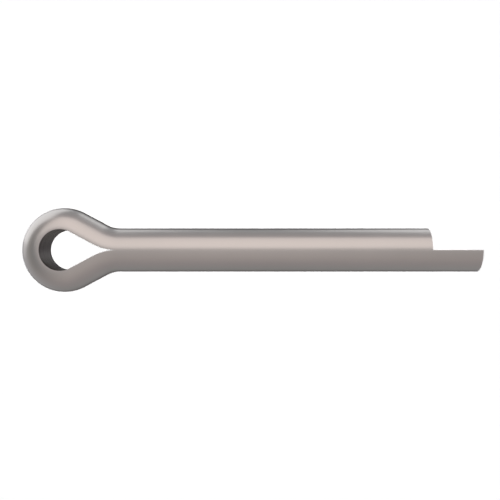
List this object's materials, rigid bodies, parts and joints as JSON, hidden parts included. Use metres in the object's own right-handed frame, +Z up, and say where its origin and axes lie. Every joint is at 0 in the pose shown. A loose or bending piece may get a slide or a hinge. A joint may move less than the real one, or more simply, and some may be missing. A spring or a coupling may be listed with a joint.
{
  "type": "cotter pin",
  "caption": "Split cotter pin bent from half-round steel wire, with a teardrop eye, a round split shank and an extended prong, for locking a clevis pin or slotted nut.",
  "frame": {"origin": "on the shank's axis, in the plane under the eye where the straight shank begins", "axes": "+X along the shank from the eye towards the tips, +Y in the plane of the eye on the side of the short leg, +Z up, square to the eye's plane, as the pin lies flat on a table"},
  "size_m": [0.0369, 0.0068, 0.0036],
  "materials": {
    "steel": "satin"
  },
  "bodies": {
    "root": {"cotter_pin": "steel"}
  },
  "joints": []
}
